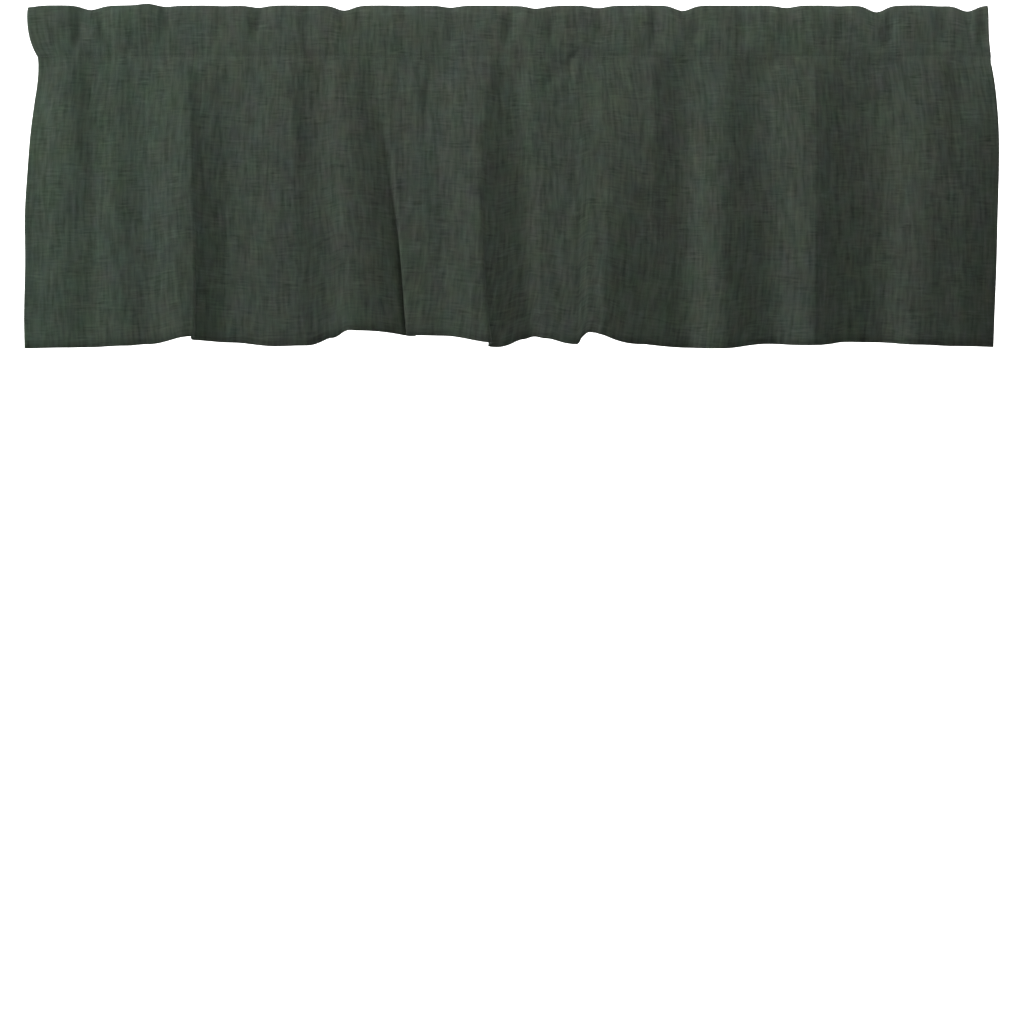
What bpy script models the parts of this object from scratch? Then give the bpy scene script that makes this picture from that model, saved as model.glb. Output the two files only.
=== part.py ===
"""A window valance of linen-look cloth, gathered a little along a flat curtain rod that is not part of it.

It is cut in one length of cloth. The heading is its rod pocket, a flat sleeve open at both ends, and the
panel is the drop that hangs below the pocket's seam. Metres, +Z up, +X to the right, and the front faces -Y.
The origin is the middle of the heading's top edge, where the rod carries it. Tables are in millimetres.
"""

from collections import namedtuple
from math import cos, exp, hypot, pi, sin, sqrt

import bmesh
import bpy

MM = 0.001

# Driving dimensions, in millimetres.
POCKET_DROP = 69.5
DROP = 459.0
CLOTH = 1.6
SEAM_GAP = 0.3
HEM_BAND = 26.0
HEM_EXTRA = 0.9
ROD_HALF_DEPTH = 6.0
HANG_FORWARD = 9.0

# The loft's steps: about how far apart the points lie along the cloth, closer on the pocket for its tucks,
# how many there are where the cloth doubles back over itself, and how many rows each pocket wall has.
PANEL_STEP = 10.0
HEADING_STEP = 7.0
LAP_STEPS = 8
WALL_STEPS = 5

# The cloth's fold line, from the left end to the right. Each row is a crest, where the cloth is nearest the
# viewer, or a hollow, where it is farthest back. at_seam and at_hem are its places along X, bow how far it
# stands to the right of the straight line between them halfway down, and seam_y and hem_y how far it lies
# behind the hanging line (less than zero is in front). late says how late on the way down it takes up
# hem_y, 1 being with the other folds. left and right are the lengths of the curve's handles on each side,
# as shares of the way to the next row: short ones make a sharp fold, and long ones a round one. hem_rise is
# how far the hem is lifted there above the longest drop, and hem_sag how far it sinks below that on the way
# to the next row. lap is how far the cloth doubles back over itself at the hem on that way.
Fold = namedtuple("Fold", "at_seam at_hem bow seam_y hem_y late left right hem_rise hem_sag lap")
FOLDS = [
    Fold(-633, -651.2, 0, 4.5, 10.5, 0.6, 0.30, 0.30, 1.5, 0, 0),
    Fold(-590, -593, 3, -4.0, 3.0, 2.0, 0.40, 0.35, 2, 0, 0),
    Fold(-561, -566, 4, 1.5, 3.6, 1.0, 0.35, 0.40, 2.5, 0, 0),
    Fold(-521, -513, -3, -1.2, -3.0, 1.0, 0.40, 0.35, 4, 0, 0),
    Fold(-502, -486, -2, -0.4, -2.0, 1.0, 0.35, 0.35, 6, 0.5, 0),
    Fold(-434, -424, 5, -7.5, -13.0, 1.0, 0.42, 0.10, 16, 0, 6),
    Fold(-416, -423, 6, -5.2, -4.6, 1.0, 0.30, 0.14, 11.5, 0, 0),
    Fold(-388, -378, 1, -1.5, 0.5, 1.0, 0.20, 0.42, 8.5, 2.5, 0),
    Fold(-296, -276, -5, -6.5, -6.0, 1.0, 0.42, 0.16, 4, 2.5, 0),
    Fold(-258, -240, -6, 1.5, -1.5, 1.0, 0.28, 0.42, 14.5, -4, 0),
    Fold(-229, -205, 0, -1.5, -7.0, 1.0, 0.40, 0.66, 24, 0.5, 0),
    Fold(-187, -136, -1, 4.0, 15.0, 2.4, 0.06, 0.12, 18, 0, 13),
    Fold(-168, -135, -1, 3.0, 3.5, 1.2, 0.20, 0.20, 18.5, 0, 0),
    Fold(-110, -92, 3, 1.5, 1.5, 1.0, 0.14, 0.14, 17.5, -1.5, 0),
    Fold(-27, -29, -14, -4.0, -10.8, 1.0, 0.35, 0.10, 8, 0, 5),
    Fold(-12, -28, -12, 1.2, -1.8, 1.0, 0.30, 0.20, 2.5, 3.5, 0),
    Fold(2, 15, -4, 0.2, 10.5, 1.0, 0.28, 0.32, 13.5, -3, 0),
    Fold(30, 45, 0, -2.4, 1.5, 1.0, 0.40, 0.35, 14, 1, 0),
    Fold(86, 87, 0, 2.0, -2.5, 1.0, 0.35, 0.40, 6, 0, 0),
    Fold(98, 94, 0, 2.0, -4.2, 1.2, 0.20, 0.20, 16.5, -2.5, 0),
    Fold(112, 110, 0, 2.0, -8.0, 1.8, 0.50, 0.35, 21, 0, 0),
    Fold(140, 119, 0, 1.0, -10.5, 2.4, 0.35, 0.10, 18.5, 3.5, 0),
    Fold(189, 176, 3, -3.6, 4.0, 1.8, 0.10, 0.06, 6.5, 0.5, 0),
    Fold(214, 233, 0, 3.2, 15.0, 0.85, 0.12, 0.42, 2.5, 0.5, 0),
    Fold(283, 284, -3, -0.5, -4.0, 1.0, 0.38, 0.28, 0.5, 0, 0),
    Fold(321, 342, 3, 6.0, 13.0, 1.0, 0.38, 0.42, 7.5, 0.5, 0),
    Fold(404, 403, 2, -4.0, -8.0, 1.0, 0.42, 0.04, 4.5, 0.5, 0),
    Fold(427, 425, 2, -1.0, 8.5, 1.0, 0.10, 0.10, 7, -1.5, 0),
    Fold(480, 484, -3, 3.5, 19.0, 1.0, 0.60, 0.42, 10, 0, 0),
    Fold(562, 543, 4, -5.5, -0.5, 1.0, 0.42, 0.35, 5.5, 0, 0),
    Fold(597, 590, 2, -1.5, 3.5, 1.8, 0.35, 0.40, 4, 0, 0),
    Fold(639, 647.3, 0, -7.5, 29.0, 2.2, 0.06, 0.22, 4.5, 0, 0),
]

# The panel's level sections, from the seam down. share is how far down the drop the section lies, opened
# how far the folds have grown from their shape below the seam to their shape at the hem, neck how much of
# seam_y is there (the stitching holds the seam itself nearly straight), and left_in and right_in how far
# the two side edges stand in from the width at the hem, in millimetres.
Section = namedtuple("Section", "share opened neck left_in right_in")
SECTIONS = [
    Section(0.000, 0.00, 0.35, 18.7, 9.8),
    Section(0.018, 0.05, 0.62, 19.3, 10.5),
    Section(0.045, 0.13, 0.92, 19.0, 8.8),
    Section(0.085, 0.24, 1.00, 17.7, 6.0),
    Section(0.160, 0.42, 1.00, 13.2, 1.8),
    Section(0.260, 0.60, 1.00, 8.0, -2.1),
    Section(0.380, 0.75, 1.00, 4.2, -3.9),
    Section(0.530, 0.88, 1.00, 0.4, -4.1),
    Section(0.700, 0.96, 1.00, 0.6, -3.6),
    Section(0.915, 1.00, 1.00, -0.7, -1.1),
    Section(0.938, 1.00, 1.00, -0.5, -0.8),
    Section(1.000, 1.00, 1.00, 0.0, 0.0),
]

# The rod pocket. Its walls stand clear of the rod by up to POCKET_FULLNESS, which the tucks below take up.
# The weight of the drop pulls its front wall nearly straight, and its back wall slants forward to the seam
# from BACK_WIDEST of its height. The front wall is full from FRONT_WIDEST up.
# Its top corners reach out past the seam's ends, over the last END_REACH of its length. SEAM_HANDLE is the
# longest handle that a fold has at the seam, where the cloth lies too flat to roll over. The laps begin at
# LAP_FROM of the drop and grow by LAP_GROWTH, LAP_HANDLE is the length of their curve's handles, LAP_ROUND
# rounds their turns, and HEM_CLEAR and HEM_FADE keep the hem's extra thickness out of them.
TOP_LEFT, TOP_RIGHT = -644.6, 634.8
END_REACH = 75.0
POCKET_FULLNESS = 4.4
FRONT_WIDEST, BACK_WIDEST = 0.60, 0.45
THREAD_GAP = 0.6
SEAM_ALLOWANCE = 3.0
LEAST_FULLNESS = 0.6
STEEP_SIDE, SLOW_SIDE = 0.75, 1.3
TUCK_FADE = 0.35
DIP_HALF_WIDTH = 15.0
ROW_CROWDING = 1.6
BACK_TUCK_SHIFT = 31.0
BACK_TUCK_SHARE = 0.7
SEAM_HANDLE = 0.42
LAP_FROM, LAP_GROWTH, LAP_HANDLE = 0.35, 1.6, 1.73
LAP_ROUND = 0.6
HEM_CLEAR, HEM_FADE = 8.0, 10.0

# The tucks that the gathering presses into the pocket's walls. at is the place of each on the top edge,
# lean how far it moves along X by the time it reaches the seam, depth how far it is pressed in, half_width
# its reach to either side, which STEEP_SIDE and SLOW_SIDE share out, reach the share of the wall that it
# runs down from the top before it fades out over TUCK_FADE, and dip how far the top edge sinks there, over
# DIP_HALF_WIDTH.
Tuck = namedtuple("Tuck", "at lean depth half_width reach dip")
TUCKS = [
    Tuck(-578, 0, 3.0, 8, 1.0, 0.0),
    Tuck(-563, -2, 1.0, 10, 0.6, 5.6),
    Tuck(-549, 7, 2.4, 8, 0.9, 0.4),
    Tuck(-464, 5, 2.6, 8, 0.7, 1.8),
    Tuck(-384, -7, 2.0, 12, 0.9, 0.8),
    Tuck(-339, -5, 3.2, 8, 0.8, 2.8),
    Tuck(-275, 0, 2.6, 9, 1.0, 0.0),
    Tuck(-224, 6, 1.6, 13, 0.6, 6.6),
    Tuck(-203, -9, 2.4, 9, 0.8, 0.0),
    Tuck(-142, 0, 2.0, 9, 0.6, 0.6),
    Tuck(-82, 4, 2.4, 11, 1.0, 2.8),
    Tuck(-1, -9, 3.6, 8, 1.0, 0.6),
    Tuck(31, -4, 1.2, 10, 0.5, 4.0),
    Tuck(50, 4, 3.0, 9, 1.0, 0.6),
    Tuck(115, 0, 2.6, 9, 0.9, 3.4),
    Tuck(149, 2, 1.6, 7, 0.6, 0.0),
    Tuck(192, -5, 3.6, 8, 1.0, 0.0),
    Tuck(228, 0, 1.0, 10, 0.5, 7.2),
    Tuck(245, -4, 3.6, 8, 0.9, 0.0),
    Tuck(307, -1, 3.2, 9, 1.0, 0.2),
    Tuck(366, 12, 2.2, 12, 0.8, 3.2),
    Tuck(436, 1, 2.4, 10, 1.0, 1.0),
    Tuck(487, -2, 1.0, 10, 0.5, 8.8),
    Tuck(506, -9, 3.4, 8, 1.0, 0.0),
    Tuck(571, 0, 3.6, 8, 1.0, 1.0),
    Tuck(608, 0, 1.0, 9, 0.6, 8.0),
    Tuck(627, -1, 3.4, 8, 1.0, 0.0),
]


def eased(share):
    """0 to 1 as share runs from 0 to 1, starting and ending level."""
    held = min(1.0, max(0.0, share))
    return (1 - cos(pi * held)) / 2


def between(start, end, share):
    return start + (end - start) * share


def lap_growth(section):
    return max(0.0, (section.share - LAP_FROM) / (1 - LAP_FROM)) ** LAP_GROWTH


def fold_knots(section):
    """The fold line's rows in this section, as (x, y, left handle, right handle, hem rise, hem sag, lap)."""
    knots = []
    for fold in FOLDS:
        x = between(fold.at_seam, fold.at_hem, section.share)
        x += fold.bow * 4 * section.share * (1 - section.share)
        grown = section.opened**fold.late
        y = fold.seam_y * section.neck * (1 - grown) + fold.hem_y * grown - HANG_FORWARD
        left, right = (
            between(min(handle, SEAM_HANDLE), handle, section.opened) for handle in (fold.left, fold.right)
        )
        knots.append([x, y, left, right, fold.hem_rise, fold.hem_sag, fold.lap * lap_growth(section)])
    knots[0][0] = FOLDS[0].at_hem + section.left_in
    knots[-1][0] = FOLDS[-1].at_hem - section.right_in
    return knots


def step_counts(places, step):
    """How many steps the loft takes from each row of the fold line to the next."""
    counts = []
    for fold, start, end in zip(FOLDS, places, places[1:]):
        counts.append(LAP_STEPS if fold.lap and step == PANEL_STEP else max(2, round((end - start) / step)))
    return counts


def fold_line(section, counts):
    """The cloth's middle line in this section, as (x, y, outward normal, hem rise) for each column."""
    knots = fold_knots(section)
    line = []
    for number, (start, end, steps) in enumerate(zip(knots, knots[1:], counts)):
        x0, y0, _, reach, rise0, sag, lap = start
        x3, y3, back, _, rise3, _, _ = end
        x1 = x0 + reach * (x3 - x0) + LAP_HANDLE * lap
        x2 = x3 - back * (x3 - x0) - LAP_HANDLE * lap
        rounded = LAP_ROUND * lap_growth(section) if lap else 0.0
        first = 0 if number == 0 else 1
        for step in range(first, steps + 1):
            t = step / steps
            u = 1 - t
            x = u**3 * x0 + 3 * u * u * t * x1 + 3 * u * t * t * x2 + t**3 * x3
            level = (u**3 + 3 * u * u * t) * (1 - rounded) + u * rounded
            slope_x = 3 * u * u * (x1 - x0) + 6 * u * t * (x2 - x1) + 3 * t * t * (x3 - x2)
            slope_y = (6 * u * t * (1 - rounded) + rounded) * (y3 - y0)
            size = hypot(slope_x, slope_y)
            normal = (slope_y / size, -slope_x / size)
            rise = between(rise3, rise0, level) - sag * 4 * level * (1 - level)
            line.append((x, between(y3, y0, level), normal, rise))
    return line


def skin_between(front, back, wrapped):
    """One closed body between two grids of points. A wrapped grid's columns are rings."""
    mesh = bmesh.new()
    sides = [[[mesh.verts.new([c * MM for c in point]) for point in column] for column in side]
             for side in (front, back)]
    columns, rows = len(front), len(front[0])
    bands = rows if wrapped else rows - 1
    for side, grid in enumerate(sides):
        for i in range(columns - 1):
            for j in range(bands):
                k = (j + 1) % rows
                quad = [grid[i][j], grid[i + 1][j], grid[i + 1][k], grid[i][k]]
                mesh.faces.new(quad if side == 0 else quad[::-1])
    outer, inner = sides
    for i in (0, columns - 1):
        for j in range(bands):
            k = (j + 1) % rows
            mesh.faces.new([outer[i][j], outer[i][k], inner[i][k], inner[i][j]])
    if not wrapped:
        for j in (0, rows - 1):
            for i in range(columns - 1):
                mesh.faces.new([outer[i][j], outer[i + 1][j], inner[i + 1][j], inner[i][j]])
    bmesh.ops.recalc_face_normals(mesh, faces=mesh.faces)
    return mesh


def hem_extra(x):
    """How much thicker the turned hem makes the cloth at this place, which is nothing where it laps over."""
    clear = min(abs(x - fold.at_hem) for fold in FOLDS if fold.lap)
    return HEM_EXTRA * eased((clear - HEM_CLEAR) / HEM_FADE)


def panel_surfaces():
    """The panel's front and back, column by column from the seam to the hem, which is turned to the back."""
    columns = None
    seam_z = -POCKET_DROP - SEAM_GAP / 2
    hem_top = 1 - HEM_BAND / (DROP - POCKET_DROP)
    counts = step_counts([fold.at_hem for fold in FOLDS], PANEL_STEP)
    for section in SECTIONS:
        line = fold_line(section, counts)
        if columns is None:
            columns = [([], []) for _ in line]
        for (front, back), (x, y, normal, rise) in zip(columns, line):
            backing = CLOTH / 2 + (hem_extra(x) if section.share >= hem_top else 0.0)
            z = between(seam_z, rise - DROP, section.share)
            front.append((x + normal[0] * CLOTH / 2, y + normal[1] * CLOTH / 2, z))
            back.append((x - normal[0] * backing, y - normal[1] * backing, z))
    return [front for front, _ in columns], [back for _, back in columns]


def tuck_depth(x, height, shift=0.0):
    """How far the tucks press a pocket wall in at this place, height being 0 at the seam and 1 at the top.

    Each drops away sharply on its left and comes back slowly on its right.
    """
    depth = 0.0
    for tuck in TUCKS:
        off = x - tuck.at - shift - tuck.lean * (1 - height)
        along = off / (tuck.half_width * (STEEP_SIDE if off < 0 else SLOW_SIDE))
        faded = eased((height - 1 + tuck.reach) / TUCK_FADE)
        depth += tuck.depth * exp(-along * along) * faded
    return depth


def top_dip(x):
    return sum(tuck.dip * exp(-(((x - tuck.at) / DIP_HALF_WIDTH) ** 2)) for tuck in TUCKS)


def pocket_wall(height, foot, full):
    """How far out a pocket wall stands at this height, from foot at the seam to full where it is widest."""
    widest = FRONT_WIDEST if full < 0 else BACK_WIDEST
    if height < widest:
        return between(foot, full, sin(pi / 2 * height / widest))
    over = (height - widest) / (1 - widest)
    return full * sqrt(max(0.0, 1 - over**3))


def wall_heights():
    """The heights of the rows on one pocket wall, closer together where the top rolls over."""
    return [1 - (1 - step / WALL_STEPS) ** ROW_CROWDING for step in range(1, WALL_STEPS)]


def heading_rings():
    """The pocket's outer and inner rings, one pair for each column of its foot."""
    outer, inner = [], []
    foot_line = fold_line(SECTIONS[0], step_counts([fold.at_seam for fold in FOLDS], HEADING_STEP))
    left, right = foot_line[0][0], foot_line[-1][0]
    for x, seam_y, _, _ in foot_line:
        top_x = x + (TOP_LEFT - left) * eased(1 - (x - left) / END_REACH)
        top_x += (TOP_RIGHT - right) * eased(1 - (right - x) / END_REACH)
        rise = POCKET_DROP - SEAM_GAP / 2 - top_dip(top_x)
        base_z = -POCKET_DROP + SEAM_GAP / 2
        seam_back = seam_y + CLOTH / 2
        slack = ROD_HALF_DEPTH + POCKET_FULLNESS

        def at_height(height):
            sway = (1 - height) ** 3
            return top_x + (x - top_x) * sway

        def wall(height, front):
            shift = 0.0 if front else BACK_TUCK_SHIFT
            strength = 1.0 if front else BACK_TUCK_SHARE
            pressed = strength * tuck_depth(at_height(height), height, shift)
            full = slack - min(pressed, POCKET_FULLNESS - LEAST_FULLNESS)
            return pocket_wall(height, seam_back, -full if front else full)

        heights = wall_heights()
        inside = [(seam_back - THREAD_GAP / 2, SEAM_ALLOWANCE)]
        inside += [(wall(h, True), between(SEAM_ALLOWANCE, rise - CLOTH, h)) for h in heights]
        inside += [(0.0, rise - CLOTH)]
        inside += [(wall(h, False), between(SEAM_ALLOWANCE, rise - CLOTH, h)) for h in heights[::-1]]
        inside += [(seam_back + THREAD_GAP / 2, SEAM_ALLOWANCE)]
        outside = []
        for j, (y, z) in enumerate(inside):
            y0, z0 = inside[max(j - 1, 0)]
            y1, z1 = inside[min(j + 1, len(inside) - 1)]
            size = hypot(y1 - y0, z1 - z0)
            outside.append((y - CLOTH * (z1 - z0) / size, z + CLOTH * (y1 - y0) / size))
        outside[0] = (seam_back - CLOTH, 0.0)
        outside[-1] = (seam_back + CLOTH, 0.0)
        for rings, profile in ((outer, outside), (inner, inside)):
            rings.append([(at_height(z / rise), y, base_z + z) for y, z in profile])
    return outer, inner


def cloth_material(name, colour):
    material = bpy.data.materials.new(name)
    material.use_nodes = True
    shader = material.node_tree.nodes["Principled BSDF"]
    shader.inputs["Base Color"].default_value = (*colour, 1.0)
    shader.inputs["Roughness"].default_value = 0.9
    shader.inputs["Metallic"].default_value = 0.0
    return material


def add_part(name, mesh, colour, collection):
    data = bpy.data.meshes.new(name)
    mesh.to_mesh(data)
    mesh.free()
    data.shade_smooth()
    data.set_sharp_from_angle(angle=pi / 3)
    data.materials.append(cloth_material(name + "_cloth", colour))
    part = bpy.data.objects.new(name, data)
    collection.objects.link(part)
    return part


for old in list(bpy.data.objects):
    bpy.data.objects.remove(old)

valance = bpy.data.collections.new("window_valance")
bpy.context.scene.collection.children.link(valance)
add_part("heading", skin_between(*heading_rings(), wrapped=True), (0.058, 0.074, 0.055), valance)
add_part("panel", skin_between(*panel_surfaces(), wrapped=False), (0.047, 0.061, 0.045), valance)
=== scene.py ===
from collections import namedtuple
from math import hypot, pi, radians

import bpy
import numpy as np
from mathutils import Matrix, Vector


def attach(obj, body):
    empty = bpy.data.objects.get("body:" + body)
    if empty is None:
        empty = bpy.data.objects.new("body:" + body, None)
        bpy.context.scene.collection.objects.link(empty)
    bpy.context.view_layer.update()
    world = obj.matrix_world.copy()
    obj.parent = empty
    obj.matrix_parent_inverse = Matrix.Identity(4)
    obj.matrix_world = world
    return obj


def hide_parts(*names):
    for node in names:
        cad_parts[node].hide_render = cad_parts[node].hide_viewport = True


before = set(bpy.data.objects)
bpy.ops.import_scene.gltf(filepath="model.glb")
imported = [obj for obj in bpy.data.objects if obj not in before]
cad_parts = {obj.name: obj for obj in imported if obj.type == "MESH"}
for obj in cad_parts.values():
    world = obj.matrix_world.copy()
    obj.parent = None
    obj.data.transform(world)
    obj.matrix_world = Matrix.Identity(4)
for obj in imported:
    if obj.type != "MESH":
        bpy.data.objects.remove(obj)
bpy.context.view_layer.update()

# The cloth as it hangs. It is one length of linen-look cloth, cut 1.37 m wide, with a rod pocket turned
# over and sewn down along the top and a hem turned up along the foot. The drop hangs in the soft folds of a
# cloth a little wider than its rod, and this section works those folds out, level by level, in millimetres.
MM = 0.001
FLAT_WIDTH = 1343.0
POCKET_DROP = 69.5
DROP = 459.0
HANG_FORWARD = 9.0
COLUMNS = 560

# A row for each point that shapes the folds, from left to right: the crests, where the cloth is nearest the
# room, the hollows, where it is farthest back, and points on the slopes between them. It gives the point's
# place at the seam and at the hem, how far it bows to the right between them, its depth at the seam and at
# the hem, how late on the way down it takes its depth at the hem (1 is with the other folds), the lengths
# of the curve's handles to its left and right, as shares of the way to the next row, how far the hem is
# lifted, how far it sags on the way to the next row, and how far the cloth doubles back over itself at the
# hem on that way.
Fold = namedtuple("Fold", "at_seam at_hem bow seam_y hem_y late left right hem_rise hem_sag lap")
folds = [
    Fold(-633, -651.2, 0, 4.5, 10.5, 0.6, 0.30, 0.30, 1.5, 0, 0),
    Fold(-590, -593, 3, -4.0, 3.0, 2.0, 0.40, 0.35, 2, 0, 0),
    Fold(-561, -566, 4, 1.5, 3.6, 1.0, 0.35, 0.40, 2.5, 0, 0),
    Fold(-521, -513, -3, -1.2, -3.0, 1.0, 0.40, 0.35, 4, 0, 0),
    Fold(-502, -486, -2, -0.4, -2.0, 1.0, 0.35, 0.35, 6, 0.5, 0),
    Fold(-434, -424, 5, -7.5, -13.0, 1.0, 0.42, 0.10, 16, 0, 6),
    Fold(-416, -423, 6, -5.2, -4.6, 1.0, 0.30, 0.14, 11.5, 0, 0),
    Fold(-388, -378, 1, -1.5, 0.5, 1.0, 0.20, 0.42, 8.5, 2.5, 0),
    Fold(-296, -276, -5, -6.5, -6.0, 1.0, 0.42, 0.16, 4, 2.5, 0),
    Fold(-258, -240, -6, 1.5, -1.5, 1.0, 0.28, 0.42, 14.5, -4, 0),
    Fold(-229, -205, 0, -1.5, -7.0, 1.0, 0.40, 0.66, 24, 0.5, 0),
    Fold(-187, -136, -1, 4.0, 15.0, 2.4, 0.06, 0.12, 18, 0, 13),
    Fold(-168, -135, -1, 3.0, 3.5, 1.2, 0.20, 0.20, 18.5, 0, 0),
    Fold(-110, -92, 3, 1.5, 1.5, 1.0, 0.14, 0.14, 17.5, -1.5, 0),
    Fold(-27, -29, -14, -4.0, -10.8, 1.0, 0.35, 0.10, 8, 0, 5),
    Fold(-12, -28, -12, 1.2, -1.8, 1.0, 0.30, 0.20, 2.5, 3.5, 0),
    Fold(2, 15, -4, 0.2, 10.5, 1.0, 0.28, 0.32, 13.5, -3, 0),
    Fold(30, 45, 0, -2.4, 1.5, 1.0, 0.40, 0.35, 14, 1, 0),
    Fold(86, 87, 0, 2.0, -2.5, 1.0, 0.35, 0.40, 6, 0, 0),
    Fold(98, 94, 0, 2.0, -4.2, 1.2, 0.20, 0.20, 16.5, -2.5, 0),
    Fold(112, 110, 0, 2.0, -8.0, 1.8, 0.50, 0.35, 21, 0, 0),
    Fold(140, 119, 0, 1.0, -10.5, 2.4, 0.35, 0.10, 18.5, 3.5, 0),
    Fold(189, 176, 3, -3.6, 4.0, 1.8, 0.10, 0.06, 6.5, 0.5, 0),
    Fold(214, 233, 0, 3.2, 15.0, 0.85, 0.12, 0.42, 2.5, 0.5, 0),
    Fold(283, 284, -3, -0.5, -4.0, 1.0, 0.38, 0.28, 0.5, 0, 0),
    Fold(321, 342, 3, 6.0, 13.0, 1.0, 0.38, 0.42, 7.5, 0.5, 0),
    Fold(404, 403, 2, -4.0, -8.0, 1.0, 0.42, 0.04, 4.5, 0.5, 0),
    Fold(427, 425, 2, -1.0, 8.5, 1.0, 0.10, 0.10, 7, -1.5, 0),
    Fold(480, 484, -3, 3.5, 19.0, 1.0, 0.60, 0.42, 10, 0, 0),
    Fold(562, 543, 4, -5.5, -0.5, 1.0, 0.42, 0.35, 5.5, 0, 0),
    Fold(597, 590, 2, -1.5, 3.5, 1.8, 0.35, 0.40, 4, 0, 0),
    Fold(639, 647.3, 0, -7.5, 29.0, 2.2, 0.06, 0.22, 4.5, 0, 0),
]

# How the folds open from the seam down: how far they have grown towards the hem, how much of their depth at
# the seam shows, as the stitching holds the seam itself nearly straight, and how far in each side edge is.
Section = namedtuple("Section", "share opened neck left_in right_in")
sections = [
    Section(0.000, 0.00, 0.35, 18.7, 9.8),
    Section(0.018, 0.05, 0.62, 19.3, 10.5),
    Section(0.045, 0.13, 0.92, 19.0, 8.8),
    Section(0.085, 0.24, 1.00, 17.7, 6.0),
    Section(0.160, 0.42, 1.00, 13.2, 1.8),
    Section(0.260, 0.60, 1.00, 8.0, -2.1),
    Section(0.380, 0.75, 1.00, 4.2, -3.9),
    Section(0.530, 0.88, 1.00, 0.4, -4.1),
    Section(0.700, 0.96, 1.00, 0.6, -3.6),
    Section(0.915, 1.00, 1.00, -0.7, -1.1),
    Section(1.000, 1.00, 1.00, 0.0, 0.0),
]
SEAM_HANDLE = 0.42
LAP_FROM = 0.35
LAP_GROWTH = 1.6
LAP_HANDLE = 1.73
LAP_ROUND = 0.6
CURVE_STEPS = 40


def smooth_along(at, stations, values):
    """A smooth curve through these values at these stations."""
    at, stations, values = (np.asarray(x, float) for x in (at, stations, values))
    slopes = np.gradient(values, stations)
    before = np.clip(np.searchsorted(stations, at) - 1, 0, len(stations) - 2)
    width = stations[before + 1] - stations[before]
    t = (at - stations[before]) / width
    return (
        (2 * t**3 - 3 * t**2 + 1) * values[before]
        + (t**3 - 2 * t**2 + t) * width * slopes[before]
        + (3 * t**2 - 2 * t**3) * values[before + 1]
        + (t**3 - t**2) * width * slopes[before + 1]
    )


def eased(share):
    """0 to 1 as share runs from 0 to 1, starting and ending level."""
    return (1 - np.cos(pi * np.clip(share, 0, 1))) / 2


def fold_line(share):
    """The cloth's line at this share of the drop: x, y and hem rise at columns evenly spaced along it."""
    stations = [section.share for section in sections]
    opened, neck, left_in, right_in = (
        float(smooth_along(share, stations, [getattr(section, name) for section in sections]))
        for name in ("opened", "neck", "left_in", "right_in")
    )
    x = np.array(
        [f.at_seam + (f.at_hem - f.at_seam) * share + f.bow * 4 * share * (1 - share) for f in folds]
    )
    x[0] = folds[0].at_hem + left_in
    x[-1] = folds[-1].at_hem - right_in
    grown = [opened**f.late for f in folds]
    y = np.array([f.seam_y * neck * (1 - g) + f.hem_y * g - HANG_FORWARD for f, g in zip(folds, grown)])
    left, right = (
        [min(h, SEAM_HANDLE) + (h - min(h, SEAM_HANDLE)) * opened for h in handles]
        for handles in ([f.left for f in folds], [f.right for f in folds])
    )
    lapped = max(0.0, (share - LAP_FROM) / (1 - LAP_FROM)) ** LAP_GROWTH
    t = np.linspace(0, 1, CURVE_STEPS, endpoint=False)
    u = 1 - t
    line = []
    for i in range(len(folds) - 1):
        reach = x[i + 1] - x[i]
        lap = folds[i].lap * lapped * LAP_HANDLE
        rounded = LAP_ROUND * lapped if lap else 0.0
        left_part = (u**3 + 3 * u * u * t) * (1 - rounded) + u * rounded
        along = (
            u**3 * x[i]
            + 3 * u * u * t * (x[i] + right[i] * reach + lap)
            + 3 * u * t * t * (x[i + 1] - left[i + 1] * reach - lap)
            + t**3 * x[i + 1]
        )
        depth = y[i] * left_part + y[i + 1] * (1 - left_part)
        rise = folds[i].hem_rise * left_part + folds[i + 1].hem_rise * (1 - left_part)
        rise -= folds[i].hem_sag * 4 * left_part * (1 - left_part)
        line.append(np.stack([along, depth, rise], 1))
    line.append([[x[-1], y[-1], folds[-1].hem_rise]])
    line = np.concatenate(line)
    run = np.concatenate([[0], np.cumsum(np.hypot(*np.diff(line[:, :2], axis=0).T))])
    even = np.linspace(0, run[-1], COLUMNS + 1)
    return np.stack([np.interp(even, run, line[:, k]) for k in range(3)], 1)


# The rod pocket. It is the cloth's top, which goes up the back, over the rod and down the front, and is
# sewn through along the seam. It is drawn up a little on the rod, so that its walls are pressed into short
# tucks and its top edge dips between them.
TOP_LEFT, TOP_RIGHT = -645.8, 634.8
END_REACH = 75.0
ROD_HALF_DEPTH = 6.0
POCKET_FULLNESS = 4.4
FRONT_WIDEST, BACK_WIDEST = 0.60, 0.45
BACK_TUCK_SHIFT = 31.0
BACK_TUCK_SHARE = 0.7
TUCK_STRENGTH = 1.35
TUCK_FADE = 0.35
STEEP_SIDE, SLOW_SIDE = 0.75, 1.5
DEEPEST = 4.6
DIP_HALF_WIDTH = 15.0

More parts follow.
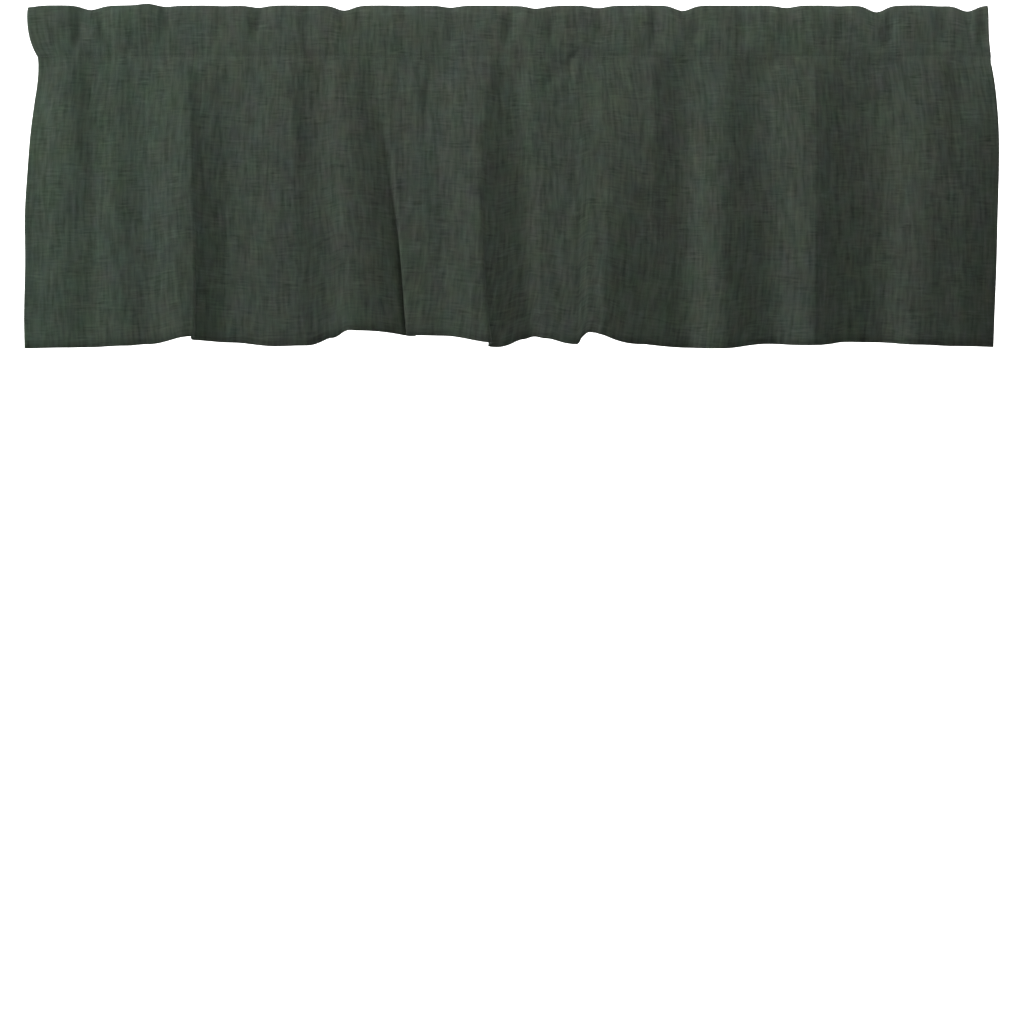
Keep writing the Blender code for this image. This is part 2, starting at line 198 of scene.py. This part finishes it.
# A row for each tuck: its place at the top, how far it leans to the right towards the seam, its depth, its
# half width, how far down the pocket it reaches, as a share, and how far the top edge dips there. Rows
# without depth shape the top edge alone.
Tuck = namedtuple("Tuck", "at lean depth half_width reach dip")
tucks = [
    Tuck(-648, 0, 0.0, 8, 1.0, 2.4),
    Tuck(-578, 0, 3.0, 8, 1.0, 0.0),
    Tuck(-563, -2, 1.0, 10, 0.6, 5.6),
    Tuck(-549, 7, 2.4, 8, 0.9, 0.4),
    Tuck(-486, 0, 0.0, 8, 1.0, -2.4),
    Tuck(-464, 5, 2.6, 8, 0.7, 1.8),
    Tuck(-384, -7, 2.0, 12, 0.9, 0.8),
    Tuck(-339, -5, 3.2, 8, 0.8, 2.8),
    Tuck(-275, 0, 2.6, 9, 1.0, 0.0),
    Tuck(-224, 6, 1.6, 13, 0.6, 6.6),
    Tuck(-203, -9, 2.4, 9, 0.8, 0.0),
    Tuck(-142, 0, 2.0, 9, 0.6, 0.6),
    Tuck(-82, 4, 2.4, 11, 1.0, 2.8),
    Tuck(-1, -9, 3.6, 8, 1.0, 0.6),
    Tuck(31, -4, 1.2, 10, 0.5, 4.0),
    Tuck(50, 4, 3.0, 9, 1.0, 0.6),
    Tuck(115, 0, 2.6, 9, 0.9, 3.4),
    Tuck(149, 2, 1.6, 7, 0.6, 0.0),
    Tuck(192, -5, 3.6, 8, 1.0, 0.0),
    Tuck(228, 0, 1.0, 10, 0.5, 7.2),
    Tuck(245, -4, 3.6, 8, 0.9, 0.0),
    Tuck(307, -1, 3.2, 9, 1.0, 0.2),
    Tuck(366, 12, 2.2, 12, 0.8, 3.2),
    Tuck(436, 1, 2.4, 10, 1.0, 1.0),
    Tuck(487, -2, 1.0, 10, 0.5, 8.8),
    Tuck(506, -9, 3.8, 8, 1.0, 0.0),
    Tuck(571, 0, 3.6, 8, 1.0, 1.0),
    Tuck(608, 0, 1.0, 9, 0.6, 8.0),
    Tuck(627, -1, 3.4, 8, 1.0, 0.0),
]

LAYER = 0.8
SEAM_FOLD = 2.5
SIDE_HEM = 12.0
SIDE_HEM_REACH = 1.25
seam_line = fold_line(0.0)
seam_x, seam_y = seam_line[:, 0], seam_line[:, 1]
top_x = seam_x + (TOP_LEFT - seam_x[0]) * eased(1 - (seam_x - seam_x[0]) / END_REACH)
top_x += (TOP_RIGHT - seam_x[-1]) * eased(1 - (seam_x[-1] - seam_x) / END_REACH)
top_dip = sum(tuck.dip * np.exp(-(((top_x - tuck.at) / DIP_HALF_WIDTH) ** 2)) for tuck in tucks)
pocket_rise = POCKET_DROP - top_dip


def stacked(extra):
    """How much thicker the layers lie at each column: at both ends the side hems are sewn in between them."""
    columns = np.arange(COLUMNS + 1)
    from_end = np.minimum(columns, COLUMNS - columns) * FLAT_WIDTH / COLUMNS
    return 1 + extra * np.exp(-((from_end / (SIDE_HEM_REACH * SIDE_HEM)) ** 4))


seam_stack = LAYER * stacked(extra=2.0)
hem_stack = LAYER * stacked(extra=3.0)


def wall_x(height):
    """The columns' places along X on the pocket, which narrows towards the seam."""
    return top_x + (seam_x - top_x) * (1 - height) ** 3


def tuck_depth(x, height, shift):
    """How far the tucks press the wall in. Each is sharp on its left and comes back slowly on its right."""
    depth = np.zeros_like(x)
    for tuck in tucks:
        off = x - tuck.at - shift - tuck.lean * (1 - height)
        along = off / (tuck.half_width * np.where(off < 0, STEEP_SIDE, SLOW_SIDE))
        fade = eased((height - 1 + tuck.reach) / TUCK_FADE)
        depth += TUCK_STRENGTH * tuck.depth * np.exp(-along * along) * fade
    return depth


def pocket_wall(height, front):
    """A row of the pocket's front or back wall at this share of its height."""
    x = wall_x(height)
    shift, strength = (0.0, 1.0) if front else (BACK_TUCK_SHIFT, BACK_TUCK_SHARE)
    pressed = tuck_depth(x, height, shift) * strength
    widest = FRONT_WIDEST if front else BACK_WIDEST
    out = (-1 if front else 1) * (ROD_HALF_DEPTH + POCKET_FULLNESS + LAYER - np.minimum(pressed, DEEPEST))
    if height < widest:
        foot = seam_y + (0.0 if front else 2 * seam_stack)
        y = foot + (out - foot) * np.sin(pi / 2 * height / widest)
    else:
        y = out * np.sqrt(max(0.0, 1 - ((height - widest) / (1 - widest)) ** 3))
    z = -POCKET_DROP + pocket_rise * height
    return np.stack([x, y, z], 1)


# The creases that folding and handling left in the cloth, and the puckers that the pocket's stitching draws
# up. A crease is a shallow trough, or a ridge where its depth is below nought. One side of it is sharp, the
# left where it runs down and the upper where it runs to the left, and it comes back slowly on the other.
Crease = namedtuple("Crease", "from_x from_z to_x to_z depth half_width")
creases = [
    Crease(-106, -66, -121, -178, 2.4, 8),
    Crease(-19, -76, -20, -138, 1.4, 7),
    Crease(9, -50, 8, -104, 1.0, 6),
    Crease(101, -50, 36, -116, 1.9, 6),
    Crease(96, -62, 95, -112, 0.8, 6),
    Crease(77, -72, 76, -112, 1.7, 5),
    Crease(48, -74, 46, -114, 1.5, 6),
    Crease(-202, -78, -182, -150, 1.2, 9),
    Crease(161, -76, 162, -110, 1.0, 6),
    Crease(578, -72, 604, -156, 2.2, 6),
    Crease(366, -220, 365, -288, 1.0, 8),
    Crease(-88, -215, -88, -350, 0.8, 11),
    Crease(93, -340, 92, -408, 1.0, 8),
    Crease(-448, -104, -520, -66, -1.3, 7),
    Crease(-404, -60, -428, -60, 1.2, 3),
    Crease(316, -91, 294, -91, 1.0, 3),
    Crease(454, -76, 432, -76, 1.2, 3),
    Crease(520, -76, 476, -78, 1.3, 3),
    Crease(356, -60, 338, -96, 0.9, 6),
    Crease(-574, -268, -588, -330, 0.8, 12),
    Crease(-330, -250, -352, -330, 0.7, 11),
    Crease(206, -150, 226, -236, 0.7, 10),
    Crease(-281, -146, -274, -236, 1.3, 9),
    Crease(-158, -100, -150, -250, 1.1, 9),
    Crease(530, -170, 520, -260, 0.6, 10),
]
CREASE_SHARP, CREASE_SLOW = 0.6, 1.35
CREASE_FADE = 0.3

# The slow ripples have a length across the cloth, one down it and a start, and the puckers have a place, a
# depth, a half width and a reach. All of these are chance values.
hand = np.random.default_rng(27)
RIPPLES = 26
RIPPLE_DEPTH = 0.10
ripples = np.stack(
    [
        hand.uniform(60, 200, RIPPLES),
        hand.uniform(170, 800, RIPPLES) * hand.choice([-1, 1], RIPPLES),
        hand.uniform(0, 2 * pi, RIPPLES),
    ],
    1,
)
PUCKERS = 108
PUCKER_REACH = 8.0
FIRST_PUCKER = -655
puckers = np.stack(
    [
        np.cumsum(hand.uniform(7, 17, PUCKERS)) + FIRST_PUCKER,
        hand.uniform(0.05, 0.42, PUCKERS),
        hand.uniform(2.6, 4.6, PUCKERS),
        hand.uniform(0.6, 1.5, PUCKERS),
    ],
    1,
)
STITCH_SINK = 0.2
SINK_HALF_WIDTH = 1.5


def crease_depth(x, z):
    """How far the creases press the cloth back at these places."""
    depth = np.zeros(x.shape)
    for crease in creases:
        run_x, run_z = crease.to_x - crease.from_x, crease.to_z - crease.from_z
        length = hypot(run_x, run_z)
        along = ((x - crease.from_x) * run_x + (z - crease.from_z) * run_z) / length**2
        off = ((z - crease.from_z) * run_x - (x - crease.from_x) * run_z) / length
        across = off / (crease.half_width * np.where(off < 0, CREASE_SHARP, CREASE_SLOW))
        trough = crease.depth * np.exp(-across * across)
        depth += trough * eased(along / CREASE_FADE) * eased((1 - along) / CREASE_FADE)
    return depth


def seam_depth(x, z):
    """How far the stitch line sinks into the cloth, and the puckers that run up and down from it."""
    off = z + POCKET_DROP
    depth = STITCH_SINK * np.exp(-((off / SINK_HALF_WIDTH) ** 2))
    for at, deep, half_width, reach in puckers:
        fade = np.exp(-((off / (reach * PUCKER_REACH)) ** 2))
        depth += deep * fade * np.exp(-(((x - at) / half_width) ** 2))
    return depth


def ripple_depth(x, z):
    """The slow unevenness of cloth that has been rolled, folded and hung."""
    return sum(
        RIPPLE_DEPTH * np.sin(2 * pi * (x / across + z / down) + start) for across, down, start in ripples
    )


# The sheet itself, laid out in rows from the turned-under top edge, up the pocket's back, over the rod, down
# the front and round the hem, which is turned twice. Both side edges are turned in by 12 mm all the way down,
# before the rest is sewn.
def level_row(line, z, back=0.0):
    """A row at height z on a line of the cloth, set back along its normal."""
    along = np.gradient(line[:, :2], axis=0)
    along /= np.hypot(*along.T)[:, None]
    x = line[:, 0] - along[:, 1] * back
    y = line[:, 1] + along[:, 0] * back
    return np.stack([x, y, np.broadcast_to(z, x.shape)], 1)


HEM_TURN = 26.0
HEM_TUCK = 8.0
EDGE_FOLD = 6.0
TOP_ROWS = (0.985, 0.995)
GATHERED_ROWS = 0.62
SEAM_ROWS = [0.0025, 0.006, 0.011]
rows, creased = [], []


def lay(row, share_creased=1.0):
    """Add a row, with the share of the creases that it takes."""
    rows.append(row)
    creased.append(share_creased)


# The top edge, folded under at the seam: heights above the seam, and how many layers back.
for rise, back in ((EDGE_FOLD, 1.0), (0.5, 1.0), (-SEAM_FOLD, 1.2), (-SEAM_FOLD + 0.6, 2.0)):
    lay(level_row(seam_line, rise - POCKET_DROP, back * seam_stack))
pocket_back_row = len(rows)
for height in 1 - (1 - np.linspace(0, 1, 12)[:-1]) ** 1.5:
    lay(pocket_wall(height, front=False), 1 - eased(height / CREASE_FADE))
for height in TOP_ROWS:
    lay(pocket_wall(height, front=False), 0.0)
for height in (1.0, *reversed(TOP_ROWS)):
    lay(pocket_wall(height, front=True), 0.0)
heights = np.linspace(1, 0, 20)[1:]
for height in heights - GATHERED_ROWS * np.sin(2 * pi * heights) / (2 * pi):
    lay(pocket_wall(height, front=True))
seam_row = len(rows) - 1
way_down = np.linspace(0, 1, 37)[1:]
for share in np.concatenate([SEAM_ROWS, SEAM_ROWS[-1] + 0.989 * way_down**1.2]):
    line = fold_line(share)
    hem_z = line[:, 2] - DROP
    lay(level_row(line, -POCKET_DROP + (hem_z + POCKET_DROP) * share))
hem_row = len(rows) - 1
# The hem, round its foot, up the back, and down again inside: heights above its foot, and layers back.
hem_turns = (
    (-0.3, 0.5),
    (0.8, 1.6),
    (HEM_TURN * 0.5, 1.7),
    (HEM_TURN, 1.6),
    (HEM_TURN - 0.8, 0.9),
    (HEM_TURN - HEM_TUCK, 0.85),
)
for rise, back in hem_turns:
    line = fold_line(1 - max(rise, 0.0) / (DROP - POCKET_DROP))
    lay(level_row(line, line[:, 2] - DROP + rise, back * hem_stack))
points = np.array(rows)
across, up = points[..., 0], points[..., 2]
pressed = (crease_depth(across, up) + seam_depth(across, up)) * np.array(creased)[:, None]
points[..., 1] += pressed + ripple_depth(across, up)


def unit(vectors):
    """These vectors, each at a length of 1."""
    return vectors / np.linalg.norm(vectors, axis=-1, keepdims=True)


TURNED_IN, EDGE_IN, EDGE_OUT = 1.15, 0.6, 0.35
TURN_COLUMNS = round(SIDE_HEM / FLAT_WIDTH * COLUMNS)
inner_side = unit(np.cross(np.gradient(points, axis=1), np.gradient(points, axis=0)))


def round_edge(edge, beside):
    """The fold of a side hem, which stands out a little past the last column of the sheet."""
    outward = unit(points[:, edge] - points[:, beside])
    return points[:, edge] + inner_side[:, edge] * EDGE_IN * LAYER + outward * EDGE_OUT


strip = points + inner_side * TURNED_IN * LAYER
left_edge = round_edge(slice(0, 1), slice(1, 2))
right_edge = round_edge(slice(-1, None), slice(-2, -1))
sheet_points = np.concatenate(
    [
        strip[:, TURN_COLUMNS:0:-1],
        left_edge,
        points,
        right_edge,
        strip[:, -2 : -2 - TURN_COLUMNS : -1],
    ],
    axis=1,
)


def cloth_mesh(name, grid, width, length):
    """A sheet of four-sided faces over this grid of rows, with a flat map of the cloth in metres."""
    row_count, column_count = grid.shape[:2]
    corner = np.arange(row_count * column_count).reshape(row_count, column_count)
    around = (corner[:-1, :-1], corner[1:, :-1], corner[1:, 1:], corner[:-1, 1:])
    faces = np.stack(around, -1).reshape(-1, 4)
    mesh = bpy.data.meshes.new(name)
    mesh.from_pydata(grid.reshape(-1, 3), [], faces)
    flat = np.stack(np.broadcast_arrays(width[None, :], length[:, None]), -1).reshape(-1, 2)
    corners = np.empty(len(mesh.loops), np.int32)
    mesh.loops.foreach_get("vertex_index", corners)
    mesh.uv_layers.new(name="cut_cloth").uv.foreach_set("vector", flat[corners].astype(np.float32).ravel())
    mesh.shade_smooth()
    return mesh


THICKNESS = 0.7
EDGE_PLACE = 0.6
row_steps = np.linalg.norm(np.diff(points, axis=0), axis=2).mean(1)
cloth_v = np.concatenate([[0], np.cumsum(row_steps)])
flat_length = cloth_v[-1]
edge_u = np.concatenate([np.linspace(-SIDE_HEM, -FLAT_WIDTH / COLUMNS, TURN_COLUMNS), [-EDGE_PLACE]])
cloth_u = np.concatenate([edge_u, np.linspace(0, FLAT_WIDTH, COLUMNS + 1), FLAT_WIDTH - edge_u[::-1]])
cut_sheet = cloth_mesh("valance_cloth", sheet_points * MM, cloth_u * MM, (flat_length - cloth_v) * MM)
valance_cloth = bpy.data.objects.new("valance_cloth", cut_sheet)
bpy.context.scene.collection.objects.link(valance_cloth)
body = valance_cloth.modifiers.new("cloth_thickness", "SOLIDIFY")
body.thickness = THICKNESS * MM
body.offset = 0.0


# Its weave. Both ways the yarn is slubby, thick and thin along its length, and dyed a mixed grey-green, so
# that short streaks run up the cloth, weaker ones run across it, and the hue drifts a little from patch to
# patch. Sizes are in metres, across the cloth and then up it.
WARP_STREAK, WEFT_STREAK = (0.0046, 0.031), (0.020, 0.0027)
LOOSE_PATCH = (0.020, 0.016)
BAND = (0.015, 0.26)
HUE_PATCH = (0.021, 0.028)
HUE_DRIFT = (0.10, 0.14)
YARN_GRAIN = 0.0011
WARP_SHARE, WEFT_SHARE, BAND_SHARE, GRAIN_SHARE = 0.53, 0.58, 0.16, 0.25
TONE_LIFT = 0.155
DARK_YARN, LIGHT_YARN = (0.0232, 0.0333, 0.0226, 1), (0.0704, 0.0872, 0.0675, 1)
DARK_TONE, LIGHT_TONE = 0.30, 0.70
HUE_SPAN, DRIFT_SPAN = 0.36, 0.14
# Painted light: towards the cloth's left end its colour is made lighter and greener, standing in for the
# light of the side lamp, which falls strongest there. The tint is full at the left edge and gone by this far
# across, in metres.
PAINTED_LIGHT_REACH = 0.42
PAINTED_LIGHT_TINT = (0.965, 1.085, 1.030, 1)

linen = bpy.data.materials.new("linen_cloth")
linen.use_nodes = True
nodes, links = linen.node_tree.nodes, linen.node_tree.links
shader = nodes["Principled BSDF"]
flat_map = nodes.new("ShaderNodeUVMap")
flat_map.uv_map = "cut_cloth"


def noise(size, place, detail, roughness, output="Fac"):
    """Noise stretched to this size on the flat cloth. Each one is cut from a place of its own."""
    spread = nodes.new("ShaderNodeVectorMath")
    spread.operation = "MULTIPLY"
    spread.inputs[1].default_value = (1 / size[0], 1 / size[1], 1.0)
    links.new(flat_map.outputs["UV"], spread.inputs[0])
    turn = nodes.new("ShaderNodeMapping")
    turn.inputs["Rotation"].default_value = (0.7, 0.5, 0.3)
    turn.inputs["Location"].default_value = (place, place * 1.7, place * 0.6)
    links.new(spread.outputs["Vector"], turn.inputs["Vector"])
    texture = nodes.new("ShaderNodeTexNoise")
    texture.inputs["Scale"].default_value = 1.0
    texture.inputs["Detail"].default_value = detail
    texture.inputs["Roughness"].default_value = roughness
    texture.inputs["Distortion"].default_value = 0.12
    links.new(turn.outputs["Vector"], texture.inputs["Vector"])
    return texture.outputs[output]


def worked_out(kind, operation, values):
    """What a node of this kind makes of these values, which are numbers or other nodes' outputs."""
    node = nodes.new(kind)
    node.operation = operation
    for socket, value in zip(node.inputs, values):
        if isinstance(value, bpy.types.NodeSocket):
            links.new(value, socket)
        else:
            socket.default_value = value
    return node.outputs[0]


def number(operation, *values):
    """A sum, product or difference of numbers."""
    return worked_out("ShaderNodeMath", operation, values)


def tint(operation, *values):
    """A sum or product of colours."""
    return worked_out("ShaderNodeVectorMath", operation, values)


def around_one(colour, span):
    """This colour, brought close to white, so that it only tints: span is how much of it is left."""
    return tint("MULTIPLY_ADD", colour, (span,) * 3, (1 - span / 2,) * 3)


warp = noise(WARP_STREAK, 3.1, 1.6, 0.55)
weft = noise(WEFT_STREAK, 11.7, 1.6, 0.55)
band = noise(BAND, 23.0, 2.0, 0.5)
loose = noise(LOOSE_PATCH, 31.0, 1.0, 0.5)
streaks = number("ADD", number("MULTIPLY", warp, WARP_SHARE), number("MULTIPLY", band, BAND_SHARE))
crossed = number("MULTIPLY", number("SUBTRACT", weft, 0.5), number("MULTIPLY_ADD", loose, 2.2, -0.55))
tone = number("ADD", streaks, number("MULTIPLY_ADD", crossed, WEFT_SHARE, TONE_LIFT))
yarn = nodes.new("ShaderNodeValToRGB")
for element, position, colour in zip(
    yarn.color_ramp.elements, (DARK_TONE, LIGHT_TONE), (DARK_YARN, LIGHT_YARN)
):
    element.position = position
    element.color = colour
links.new(tone, yarn.inputs["Fac"])
hue = noise(HUE_PATCH, 41.0, 3.0, 0.6, "Color")
drift = noise(HUE_DRIFT, 47.0, 1.0, 0.5, "Color")
dyed = tint("MULTIPLY", around_one(hue, HUE_SPAN), around_one(drift, DRIFT_SPAN))
# Painted light: the yarn's colour is lifted and greened towards the cloth's left end, where the side lamp's
# light falls strongest.
flat_place = nodes.new("ShaderNodeSeparateXYZ")
links.new(flat_map.outputs["UV"], flat_place.inputs["Vector"])
painted_light_ramp = nodes.new("ShaderNodeMapRange")
painted_light_ramp.interpolation_type = "SMOOTHSTEP"
for socket, value in zip(("From Min", "From Max", "To Min", "To Max"), (0.0, PAINTED_LIGHT_REACH, 1.0, 0.0)):
    painted_light_ramp.inputs[socket].default_value = value
links.new(flat_place.outputs["X"], painted_light_ramp.inputs["Value"])
painted_left_light = nodes.new("ShaderNodeMix")
painted_left_light.data_type = "RGBA"
painted_left_light.inputs["A"].default_value = (1.0, 1.0, 1.0, 1)
painted_left_light.inputs["B"].default_value = PAINTED_LIGHT_TINT
links.new(painted_light_ramp.outputs["Result"], painted_left_light.inputs["Factor"])
colour = tint("MULTIPLY", tint("MULTIPLY", yarn.outputs["Color"], dyed), painted_left_light.outputs["Result"])
links.new(colour, shader.inputs["Base Color"])
links.new(number("MULTIPLY_ADD", tone, 0.24, 0.74), shader.inputs["Roughness"])
shader.inputs["Specular IOR Level"].default_value = 0.25
shader.inputs["Sheen Weight"].default_value = 0.06
shader.inputs["Sheen Roughness"].default_value = 0.5
warp_grain = noise((YARN_GRAIN, 0.0090), 51.0, 1.0, 0.5)
weft_grain = noise((0.0060, YARN_GRAIN), 61.0, 1.0, 0.5)
grain = number("ADD", warp_grain, weft_grain)
relief = nodes.new("ShaderNodeBump")
relief.inputs["Strength"].default_value = 0.6
relief.inputs["Distance"].default_value = 0.0005
links.new(number("ADD", tone, number("MULTIPLY", grain, GRAIN_SHARE)), relief.inputs["Height"])
links.new(relief.outputs["Normal"], shader.inputs["Normal"])
valance_cloth.data.materials.append(linen)

# The sewing. A lockstitch in matching thread holds the pocket, and shows as short dashes on both sides. The
# hem's and the side hems' stitches catch so little of the front that they show only on the back.
PITCH = 3.2
STITCH = 2.6
THREAD = 0.21
DIVE = 0.35
ROW_END = 1.5
SIDES = 6
RING_AT = np.array([0.0, 0.14, 0.5, 0.86, 1.0])
RING_LIFT = np.array([-DIVE, 0.02, 0.10, 0.02, -DIVE]) + DIVE
RING_RADIUS = THREAD * np.array([0.55, 1.0, 1.0, 1.0, 0.55])
LAST_RING = SIDES * (len(RING_AT) - 1)
stitch_points, stitch_faces, stitch_map = [], [], []


def sew(path, outward):
    """Lay a row of stitches along this path, on the side of the cloth that outward points to."""
    run = np.concatenate([[0], np.cumsum(np.linalg.norm(np.diff(path, axis=0), axis=1))])
    starts = np.arange(ROW_END, run[-1] - STITCH - ROW_END, PITCH) + hand.uniform(-0.18, 0.18)
    starts = starts + hand.uniform(-0.15, 0.15, len(starts))
    angle = 2 * pi * np.arange(SIDES) / SIDES
    for start in starts:
        at = start + STITCH * RING_AT
        middle = np.stack([np.interp(at, run, path[:, k]) for k in range(3)], 1)
        out = unit(np.stack([np.interp(at, run, outward[:, k]) for k in range(3)], 1))
        ahead = unit(np.gradient(middle, axis=0))
        side = np.cross(ahead, out)
        middle = middle + out * RING_LIFT[:, None]
        turn = np.cos(angle)[:, None] * out[:, None] + np.sin(angle)[:, None] * side[:, None]
        ring = middle[:, None] + RING_RADIUS[:, None, None] * turn
        first = len(stitch_points) * SIDES * len(RING_AT)
        stitch_points.append(ring.reshape(-1, 3))
        stitch_map.append(np.stack(np.broadcast_arrays(at[:, None], angle[None]), -1).reshape(-1, 2))
        for here in range(first, first + LAST_RING, SIDES):
            for m in range(SIDES):
                n = (m + 1) % SIDES
                stitch_faces.append([here + m, here + n, here + SIDES + n, here + SIDES + m])
        stitch_faces.append([first + m for m in reversed(range(SIDES))])
        stitch_faces.append([first + LAST_RING + m for m in range(SIDES)])


def row_between(start, share):
    """A path this share of the way from one row of the sheet to the next, with its outward side."""
    return [grid[start] * (1 - share) + grid[start + 1] * share for grid in (points, -inner_side)]


HEM_STITCH = 0.80
SIDE_STITCH = 4
sew(*row_between(seam_row, 0.0))
sew(*row_between(pocket_back_row, 0.0))
sew(*row_between(hem_row + 3, HEM_STITCH))
drop_rows = slice(seam_row + 3, hem_row - 1)
for column in (SIDE_STITCH, COLUMNS - SIDE_STITCH):
    sew(strip[drop_rows, column], inner_side[drop_rows, column])
thread_mesh = bpy.data.meshes.new("stitching")
thread_mesh.from_pydata(np.concatenate(stitch_points) * MM, [], stitch_faces)
corners = np.empty(len(thread_mesh.loops), np.int32)
thread_mesh.loops.foreach_get("vertex_index", corners)
thread_map = np.concatenate(stitch_map)[corners] * (MM, MM)
thread_mesh.uv_layers.new(name="thread_run").uv.foreach_set("vector", thread_map.astype(np.float32).ravel())
thread_mesh.shade_smooth()
stitching = bpy.data.objects.new("stitching", thread_mesh)
bpy.context.scene.collection.objects.link(stitching)

DARK_THREAD, LIGHT_THREAD = (0.032, 0.042, 0.032, 1), (0.062, 0.077, 0.061, 1)
thread = bpy.data.materials.new("sewing_thread")
thread.use_nodes = True
thread_nodes, thread_links = thread.node_tree.nodes, thread.node_tree.links
thread_shader = thread_nodes["Principled BSDF"]
run_map = thread_nodes.new("ShaderNodeUVMap")
run_map.uv_map = "thread_run"
twist = thread_nodes.new("ShaderNodeTexWave")
twist.bands_direction = "DIAGONAL"
twist.inputs["Scale"].default_value = 700.0
twist.inputs["Distortion"].default_value = 0.6
thread_links.new(run_map.outputs["UV"], twist.inputs["Vector"])
shade = thread_nodes.new("ShaderNodeValToRGB")
shade.color_ramp.elements[0].color = DARK_THREAD
shade.color_ramp.elements[1].color = LIGHT_THREAD
thread_links.new(twist.outputs["Fac"], shade.inputs["Fac"])
thread_links.new(shade.outputs["Color"], thread_shader.inputs["Base Color"])
thread_shader.inputs["Roughness"].default_value = 0.62
thread_shader.inputs["Sheen Weight"].default_value = 0.1
ply = thread_nodes.new("ShaderNodeBump")
ply.inputs["Strength"].default_value = 0.5
ply.inputs["Distance"].default_value = 0.00008
thread_links.new(twist.outputs["Fac"], ply.inputs["Height"])
thread_links.new(ply.outputs["Normal"], thread_shader.inputs["Normal"])
stitching.data.materials.append(thread)

for piece in (valance_cloth, stitching):
    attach(piece, "root")
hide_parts("heading", "panel")

# The place that it is shown in: a pale studio sweep whose floor rises into a wall well behind the cloth.
FLOOR_Z = -2.1
WALL_Y = 4.6
WALL_TOP = 6.0
CURVE = 1.6
REACH = 9.0
sweep_profile = [(-REACH, FLOOR_Z), (WALL_Y - CURVE, FLOOR_Z)]
for angle in np.linspace(0, pi / 2, 25)[1:]:
    sweep_profile.append((WALL_Y - CURVE + CURVE * np.sin(angle), FLOOR_Z + CURVE - CURVE * np.cos(angle)))
sweep_profile.append((WALL_Y, WALL_TOP))
sweep_rows = np.array([[(x, y, z) for x in (-REACH, REACH)] for y, z in sweep_profile])
sweep_v = np.linspace(0, 1, len(sweep_profile))
sweep_mesh = cloth_mesh("studio_sweep", sweep_rows[::-1], np.array([0.0, 1.0]), sweep_v)
sweep = bpy.data.objects.new("studio_sweep", sweep_mesh)
bpy.context.scene.collection.objects.link(sweep)
paper = bpy.data.materials.new("white_paper")
paper.use_nodes = True
paper_shader = paper.node_tree.nodes["Principled BSDF"]
paper_shader.inputs["Base Color"].default_value = (0.93, 0.93, 0.93, 1)
paper_shader.inputs["Roughness"].default_value = 0.9
sweep.data.materials.append(paper)

world = bpy.data.worlds.new("studio_air")
bpy.context.scene.world = world
world.use_nodes = True
air = world.node_tree.nodes["Background"]
air.inputs["Color"].default_value = (1, 1, 1, 1)
air.inputs["Strength"].default_value = 0.10


def soft_light(name, place, aim, size, power, spread=180):
    """A soft rectangular lamp that faces its aim and doesn't show in the picture itself."""
    lamp = bpy.data.lights.new(name, "AREA")
    lamp.shape = "RECTANGLE"
    lamp.size, lamp.size_y = size
    lamp.energy = power
    lamp.spread = radians(spread)
    light = bpy.data.objects.new(name, lamp)
    light.location = place
    light.visible_camera = False
    light.rotation_euler = (Vector(aim) - Vector(place)).to_track_quat("-Z", "Y").to_euler()
    bpy.context.scene.collection.objects.link(light)


# A lamp from the left and a wide one over the front light the cloth, and a third lights the wall behind it.
soft_light("side_light", (-2.9, -0.9, 0.35), (0.2, 0.0, 0.2), (0.8, 1.3), power=30, spread=120)
soft_light("top_light", (0.3, -0.75, 0.75), (0.2, 0.0, -0.3), (2.4, 0.4), power=16)
soft_light("sweep_light", (0.0, 1.4, 1.2), (0.0, 4.6, -0.6), (5.0, 1.0), power=420)

# The camera stands straight in front, level with the middle of the picture.
PICTURE_WIDTH = 1.3683
PICTURE_MIDDLE = -0.6767
LENS = 85.0
SENSOR = 36.0
camera_data = bpy.data.cameras.new("camera")
camera_data.lens = LENS
camera_data.sensor_width = SENSOR
camera = bpy.data.objects.new("camera", camera_data)
camera.location = (0.0, -PICTURE_WIDTH * LENS / SENSOR, PICTURE_MIDDLE)
camera.rotation_euler = (radians(90), 0, 0)
bpy.context.scene.collection.objects.link(camera)
bpy.context.scene.camera = camera
bpy.context.scene.view_settings.view_transform = "Standard"
